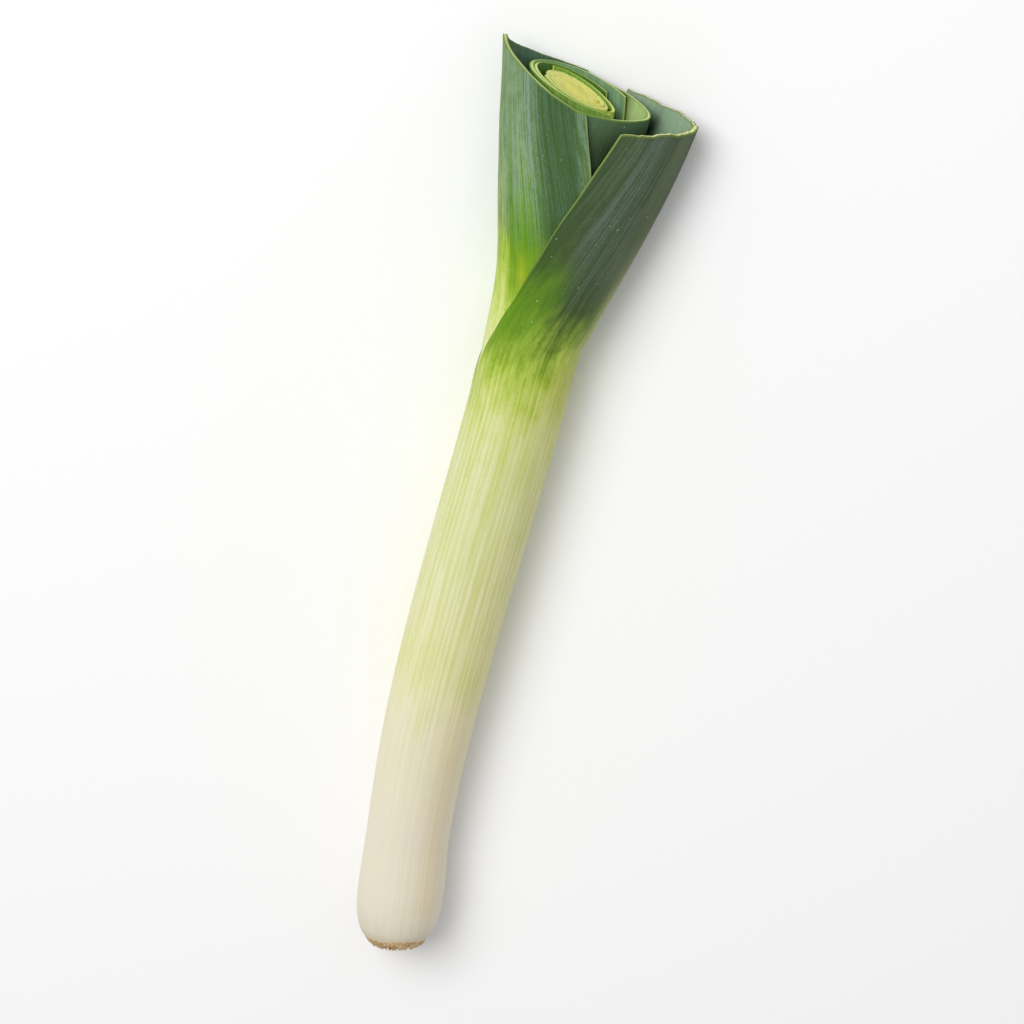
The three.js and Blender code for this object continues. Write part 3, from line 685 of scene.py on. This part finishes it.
def makeLeaf(index):
    leaf = leaves[index]
    look, inside = leaf["skin"], leaf["inside"]
    columns, sheathRows, bladeRows = leaf["columns"], leaf["sheathRows"], leaf["bladeRows"]
    rows = sheathRows + bladeRows
    sheet, column, row = newGrid(leaf["name"] + "Sheet", columns, rows)
    share = column / columns * 2 - 1
    above = np.clip(row - sheathRows, 0, None) / bladeRows
    # the round end of the bulb gets closer rows than the straight shaft
    climb = np.clip(row, 0, sheathRows) / sheathRows
    eased = sum(part * climb ** power for part, power in leafDetail["rowEase"])
    sheathStation = leaf["base"] + (leaf["mouth"] - leaf["base"]) * eased
    widest = np.where(share > 0, leaf["front"], leaf["back"])
    edgeAngle = np.radians(180 + (widest - 180) * above)
    # the free margins wander a little
    wander = sum(size * np.sin(above * turns + step * index)
                 for turns, size, step in leafDetail["marginWander"])
    angle = edgeAngle * share * (1 + wander * np.abs(share) * np.clip(above * 6, 0, 1))
    end = endStation(index, np.radians(widest) * share)
    bladeStation = leaf["mouth"] + (end - leaf["mouth"]) * above ** leaf["curve"]
    station = np.where(row <= sheathRows, sheathStation, bladeStation)
    across, up = sectionPoint(index, station, angle)
    # the veins bend with the blade without a kink, so they get an even turn of their own
    spreading = smooth(station, leaf["mouth"] - 4, leafDetail["spreadEnd"])
    spread = np.radians(180 + (widest - 180) * spreading)
    evenTurn = np.pi * angle / spread
    swellLength = leafDetail["swellLength"]
    swell = np.array([noise.noise(Vector((math.cos(a) * 0.9, s / swellLength, math.sin(a) * 0.9 + 7 * index)))
                      for a, s in zip(evenTurn, station)])
    veins = sum(height * np.sin(evenTurn * turns + sway * np.sin(station / length))
                for turns, height, sway, length in leafDetail["veins"])
    fadeStart, fadeEnd, fade = leafDetail["veinsFade"]
    calm = np.clip((station - leaf["base"]) / leafDetail["calm"], 0, 1)
    calm = calm * (1 - leafDetail["calmBlade"] * above)
    swell = leafDetail["swell"] * swell * (index < leafDetail["swollen"])
    lift = (swell + veins * (1 - smooth(station, fadeStart, fadeEnd) * fade)) * calm
    size = np.hypot(across, up) + 1e-6
    setPlaces(sheet, place(station, across * (1 + lift / size), up * (1 + lift / size)))
    radius = leafDetail["colourRadius"]
    addAttribute(sheet, "lay", np.stack([radius * np.cos(evenTurn), station, radius * np.sin(evenTurn)], -1))
    addAttribute(sheet, "edge", np.abs(share))
    addAttribute(sheet, "opened", above)
    addAttribute(sheet, "ripe", station - bandValue(look["late"], share) * np.clip(above * 8, 0, 1))
    addAttribute(sheet, "bloom", bandValue(look["bloomBand"], share))
    for k, tint in enumerate(look["tints"]):
        addAttribute(sheet, "tint%d" % k, bandValue(tint["band"], share) * bandValue(tint["along"], station))
    if "shade" in inside:
        shadow = inside["shade"]
        addAttribute(sheet, "shade", bandValue(shadow["band"], share) * bandValue(shadow["along"], station))
    addAttribute(sheet, "skin", np.zeros(len(share)))
    # the wall goes from the sheath's thickness to that of the cut, which changes from keel to margins
    group = sheet.vertex_groups.new(name="wall")
    atTop = leaf["keelWall"] + (leaf["edgeWall"] - leaf["keelWall"]) * share ** 2
    thickest = max(leaf["wall"], leaf["keelWall"])
    weight = (leaf["wall"] + (atTop - leaf["wall"]) * above) / thickest
    for k, value in enumerate(weight):
        group.add([k], float(value), "REPLACE")
    weld(sheet)
    facesOutward(sheet)
    outerCount = len(sheet.data.vertices)
    sheet.data.materials.append(skinMaterial(leaf))
    sheet.data.materials.append(innerMaterial(leaf))
    sheet.data.materials.append(rimMaterial(leaf))
    applyModifier(sheet, "SOLIDIFY", thickness=thickest / 1000, offset=-1, use_even_offset=False,
                  vertex_group="wall", thickness_vertex_group=0.0, use_rim=True, material_offset=1,
                  material_offset_rim=2)
    sheet.vertex_groups.clear()
    skin = np.zeros(len(sheet.data.vertices), np.float32)
    skin[outerCount:] = 1
    sheet.data.attributes["skin"].data.foreach_set("value", skin)
    keepAboveFloor(sheet)
    smoothFaces(sheet, 35)
    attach(sheet, "root")
    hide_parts(leaf["name"])
    print(leaf["name"], "made,", triangles(sheet), "triangles")


# the youngest leaves, pressed together. The cut face has ridges and waves (height, and turns from the middle
# out), a grain and spots: each spot is a dent, across, up, size and weight. The rings are the face's colours
# from the middle to the rim, with a line where one leaf ends and the next begins
heart = {
    "side": 1, "half": 7.1, "pinch": (0.25, 0.25), "cut": (-0.4, -0.47), "base": 7.6,
    "columns": 128, "rows": 60, "faceRows": 44,
    "right": [[262, 7.1], [278, 7.4], [300, 9], [330, 11.1], [350, 12], [365, 12.3]],
    "left": [[262, 7.1], [278, 7.2], [300, 8.1], [330, 10], [357, 11.1], [370, 11.4]],
    "spots": [(8.3, -0.6, 0.8, 1.0), (7.4, 1.2, 0.5, 0.5), (-9.2, 0.4, 1.1, 0.35), (-4.2, 0.3, 1.5, 0.3),
              (-8.0, -1.4, 0.7, 0.3)],
    "ridges": (0.10, 46), "waves": (0.22, 7), "grain": 0.25, "dent": 0.7,
    "sideColours": ((214, 218, 120), (190, 206, 92)),
    "rings": [(0.0, (208, 204, 84)), (0.5, (210, 206, 98)), (0.70, (208, 208, 104)), (0.75, (182, 190, 64)),
              (0.79, (212, 214, 124)), (0.86, (204, 210, 106)), (0.90, (156, 178, 56)),
              (0.94, (214, 218, 134)), (1.0, (190, 202, 96))],
    "grainColour": (220, 218, 136), "blotchColour": (198, 186, 56), "spotColour": (150, 158, 34),
}
layers = leaves + [heart]


def heartMaterials():
    side = Paint("heartSide", Specular_IOR_Level=0.4)
    lay = side.attribute("lay", "Vector")
    fine = side.noise(side.stretched(lay, (1.2, 0.02, 1.2)), 2, 0.5)
    colour = side.mix(fine, *[shade(*rgb) for rgb in heart["sideColours"]])
    sideMaterial = side.finish(Base_Color=colour, Roughness=0.4)
    face = Paint("heartFace", Specular_IOR_Level=0.4)
    lay = face.attribute("lay", "Vector")
    ring = face.attribute("edge")
    spot = face.attribute("spot")
    grain = face.noise(face.stretched(lay, (0.9, 0.9, 0.9)), 4, 0.6)
    blotch = face.noise(face.stretched(lay, (0.22, 0.22, 0.22), (4, 1, 9)), 2, 0.5)
    ridge = ring + (grain - 0.5) * 0.05 + (blotch - 0.5) * 0.12
    colour = face.ramp(ridge, [(position, shade(*rgb)) for position, rgb in heart["rings"]])
    colour = face.mix(face.between(grain, 0.48, 0.74) * 0.4, colour, shade(*heart["grainColour"]))
    colour = face.mix(face.between(blotch, 0.54, 0.68) * 0.4, colour, shade(*heart["blotchColour"]))
    colour = face.mix(face.between(spot, 0.1, 0.9), colour, shade(*heart["spotColour"]))
    rough = 0.36 + (grain - 0.5) * 0.3
    faceMaterial = face.finish(Base_Color=colour, Roughness=rough, Normal=face.bump(grain, 0.3, 0.0003))
    return sideMaterial, faceMaterial


def makeHeart():
    index = len(leaves)
    columns, rows, faceRows = heart["columns"], heart["rows"], heart["faceRows"]
    sheet, column, row = newGrid("heartSheet", columns, rows + faceRows + 1)
    angle = column / columns * 2 * np.pi
    end = endStation(index, angle)
    climb = np.clip((row - 1) / (rows - 1), 0, 1)
    station = heart["base"] + (end - heart["base"]) * climb
    across, up = sectionPoint(index, station, angle)
    # past the rim, the rows shrink across the cut face to its middle
    shareOut = np.where(row <= rows, 1.0, 1 - (row - rows) / (faceRows + 1))
    shareOut = np.where(row == 0, 0.0, shareOut)
    across, up = across * shareOut, up * shareOut
    onFace = row > rows
    (ridge, ridgeTurns), (wave, waveTurns) = heart["ridges"], heart["waves"]
    layersRise = ridge * np.sin(shareOut * ridgeTurns) * smooth(shareOut, 0.55, 0.8)
    layersRise = layersRise + wave * np.cos(shareOut * waveTurns)
    grainRise = np.array([noise.noise(Vector((a * 0.6, u * 0.6, 3.0))) for a, u in zip(across, up)])
    # a few small dents where the tips of the youngest leaves were cut
    spot = np.zeros(len(across))
    for x, y, size, weight in heart["spots"]:
        spot = np.maximum(spot, weight * np.exp(-((across - x) ** 2 + (up - y) ** 2) / size ** 2))
    rise = layersRise + grainRise * heart["grain"] - heart["dent"] * spot
    rise = rise * smooth(1 - shareOut, 0, 0.06)
    station = np.where(onFace, cutStation(heart["cut"], across, up) + rise, station)
    setPlaces(sheet, place(station, across, up))
    addAttribute(sheet, "lay", np.stack([across, station, up], -1))
    addAttribute(sheet, "edge", np.where(row <= rows, 1.0, shareOut))
    addAttribute(sheet, "spot", np.where(onFace, spot, 0))
    weld(sheet, 2e-6)
    for material in heartMaterials():
        sheet.data.materials.append(material)
    # the cut face takes the second material
    ring = np.zeros(len(sheet.data.vertices), np.float32)
    sheet.data.attributes["edge"].data.foreach_get("value", ring)
    for polygon in sheet.data.polygons:
        cutFace = min(ring[v] for v in polygon.vertices) < 0.999 and polygon.center.y > 0.1
        polygon.material_index = 1 if cutFace else 0
    smoothFaces(sheet, 40)
    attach(sheet, "root")
    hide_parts("heart")
    print("heart made,", triangles(sheet), "triangles")


# a round plate with cut roots: count of them under it, and ringCount out of the foot of the leek round it
roots = {
    "radius": 10.5, "underside": 3.8, "top": 7.0, "bevel": 0.9,
    "count": 190, "spread": 10.2, "splay": 1.1, "stubTop": 5.0,
    "ringCount": 330, "ringTop": (4.9, 5.7), "ringRise": (1.8, 4.0), "ringSplay": (10.4, 11.2),
    "thick": 0.36, "sizes": (0.7, 1.5), "ringSizes": (0.5, 1.1),  # sizes are shares of thick
    "end": 2.3, "ragged": 1.3,  # no root reaches past the end, and the shortest stay this far back
    "jitter": 0.3, "stubBevel": 0.1, "seed": 11,
    "tones": [(0.30, (158, 122, 76)), (0.43, (192, 158, 110)), (0.55, (218, 192, 146)),
              (0.72, (234, 216, 180))],
}


def rootMaterial():
    paint = Paint("rootPlateDry", Specular_IOR_Level=0.2)
    spot = paint.node("ShaderNodeTexCoord", {}, {}, "Object")
    grain = paint.noise(spot, 4, 0.6, 900.0)
    patch = paint.noise(spot, 2, 0.5, 260.0)
    tones = [(position, shade(*rgb)) for position, rgb in roots["tones"]]
    colour = paint.ramp(grain * 0.6 + patch * 0.4, tones)
    return paint.finish(Base_Color=colour, Roughness=0.85, Normal=paint.bump(grain, 0.6, 0.0005))


def makeRoots():
    rng = random.Random(roots["seed"])
    bevelAngle = math.radians(50)
    startClean()
    thickness = roots["top"] - roots["underside"]
    bpy.ops.mesh.primitive_cylinder_add(vertices=72, radius=roots["radius"], depth=thickness,
                                        end_fill_type="NGON", rotation=(math.radians(90), 0, 0),
                                        location=(0, (roots["top"] + roots["underside"]) / 2, 0))
    plate = bpy.context.object
    bpy.ops.object.transform_apply(location=True, rotation=True, scale=True)
    plate.name = "rootPlateSheet"
    applyModifier(plate, "BEVEL", width=roots["bevel"], segments=3, limit_method="ANGLE",
                  angle_limit=bevelAngle)
    # one cut root, a tapered stick with a rounded end, copied into place again and again
    startClean()
    bpy.ops.mesh.primitive_cone_add(vertices=7, radius1=roots["thick"] * 0.75, radius2=roots["thick"] * 1.1,
                                    depth=1, end_fill_type="NGON", location=(0, 0, 0.5))
    stub = bpy.context.object
    bpy.ops.object.transform_apply(location=True, rotation=True, scale=True)
    applyModifier(stub, "BEVEL", width=roots["stubBevel"], segments=1, limit_method="ANGLE",
                  angle_limit=bevelAngle)
    copies = []
    goldenTurn = math.pi * (3 - math.sqrt(5))
    shortest, jitter = roots["end"] + roots["ragged"], roots["jitter"]
    for k in range(roots["count"] + roots["ringCount"]):
        under = k < roots["count"]
        if under:
            share = math.sqrt((k + 0.5) / roots["count"])
            away = roots["spread"] * share
            turn = goldenTurn * k + rng.uniform(-0.1, 0.1)
            tip = rng.uniform(roots["end"], shortest)
            splay = rng.uniform(0.0, roots["splay"]) * share
            top = roots["stubTop"]
        else:
            # the outermost come out of the foot of the leek and lie close against it, most on its upper side
            turn = 2 * math.pi * (k + rng.uniform(-0.5, 0.5)) / roots["ringCount"]
            upper = max(0, math.sin(turn)) ** 0.7
            top = rng.uniform(*roots["ringTop"]) + upper ** 2 * rng.uniform(*roots["ringRise"])
            away = float(along(shaft["radius"], top)) + 0.1 - (1 - upper) * 0.9
            tip = rng.uniform(roots["end"], shortest) + upper * 0.7
            splay = rng.uniform(*roots["ringSplay"]) + upper * 0.2 - away
        start = Vector((math.cos(turn) * away, top, math.sin(turn) * away))
        out = away + splay
        finish = Vector((math.cos(turn) * out + rng.uniform(-jitter, jitter), tip,
                         math.sin(turn) * out + rng.uniform(-jitter, jitter)))
        run = start - finish
        thick = rng.uniform(*roots["sizes" if under else "ringSizes"])
        turned = run.to_track_quat("Z", "Y").to_matrix().to_4x4()
        sized = Matrix.Diagonal((thick, thick, run.length, 1))
        copy = stub.copy()
        copy.data = stub.data.copy()
        copy.data.transform(Matrix.Translation(finish) @ turned @ sized)
        bpy.context.scene.collection.objects.link(copy)
        copies.append(copy)
    bpy.data.objects.remove(stub)
    selectOnly(plate)
    for copy in copies:
        copy.select_set(True)
    bpy.ops.object.join()
    places = getPlaces(plate)
    setPlaces(plate, place(places[:, 1], places[:, 0], places[:, 2]))
    plate.data.materials.clear()
    plate.data.materials.append(rootMaterial())
    smoothFaces(plate, 40)
    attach(plate, "root")
    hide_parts("root_plate")
    print("roots made,", triangles(plate), "triangles")


for index in range(len(leaves)):
    makeLeaf(index)
makeHeart()
makeRoots()

studio = {
    "floor": (0.965, 0.965, 0.965), "floorSize": 6, "world": 0.46, "aim": (0, 0.05, 0),
    "key": {"place": (-1.0, 1.1, 2.0), "size": 1.5, "power": 44.0},
    "fill": {"place": (0.9, -0.6, 1.6), "size": 1.4, "power": 0.8},
}

startClean()
bpy.ops.mesh.primitive_plane_add(size=studio["floorSize"], location=(0, 0, 0))
floor = bpy.context.object
floor.name = "floor"
floorPaint = Paint("floorPale", Roughness=0.9, Specular_IOR_Level=0.1)
floor.data.materials.append(floorPaint.finish(Base_Color=studio["floor"] + (1,)))

startClean()
for name in ("key", "fill"):
    lamp = studio[name]
    bpy.ops.object.light_add(type="AREA", location=lamp["place"])
    light = bpy.context.object
    light.name = name + "Light"
    light.data.size = lamp["size"]
    light.data.energy = lamp["power"]
    light.rotation_euler = (Vector(studio["aim"]) - Vector(lamp["place"])).to_track_quat("-Z", "Y").to_euler()
world = bpy.data.worlds.new("studio")
bpy.context.scene.world = world
world.use_nodes = True
world.node_tree.nodes["Background"].inputs["Color"].default_value = (1, 1, 1, 1)
world.node_tree.nodes["Background"].inputs["Strength"].default_value = studio["world"]
bpy.context.scene.view_settings.view_transform = "Standard"
print("floor and light made")

# the camera looks steeply down, leaning towards the cut top, and is rolled so that the leek leans right
lens = {
    "focal": 100.0, "sensor": 36, "picture": 1024, "clip": (0.05, 20),
    "lean": 20.0, "roll": 11.7, "distance": 1.0733,
    "target": (-0.0084, 0.00201, 0.017), "aim": (486.5, 518.0),  # the pixel that shows the target
}
lean, roll = math.radians(lens["lean"]), math.radians(lens["roll"])
back = Vector((0, math.sin(lean), math.cos(lean)))
upright = Vector((0, math.cos(lean), -math.sin(lean)))
right = Vector((math.cos(roll), 0, 0)) + upright * math.sin(roll)
up = Vector((-math.sin(roll), 0, 0)) + upright * math.cos(roll)
eye = Vector(lens["target"]) + back * lens["distance"]
middle = lens["picture"] / 2
focalPixels = lens["focal"] / lens["sensor"] * lens["picture"]
forward = -back * focalPixels + right * (middle - lens["aim"][0]) + up * (lens["aim"][1] - middle)
forward.normalize()
right = (right - forward * right.dot(forward)).normalized()
up = right.cross(forward)
bpy.ops.object.camera_add(location=eye)
camera = bpy.context.object
camera.data.lens = lens["focal"]
camera.data.sensor_width = lens["sensor"]
camera.data.clip_start, camera.data.clip_end = lens["clip"]
camera.matrix_world = Matrix.Translation(eye) @ Matrix((right, up, -forward)).transposed().to_4x4()
bpy.context.scene.camera = camera
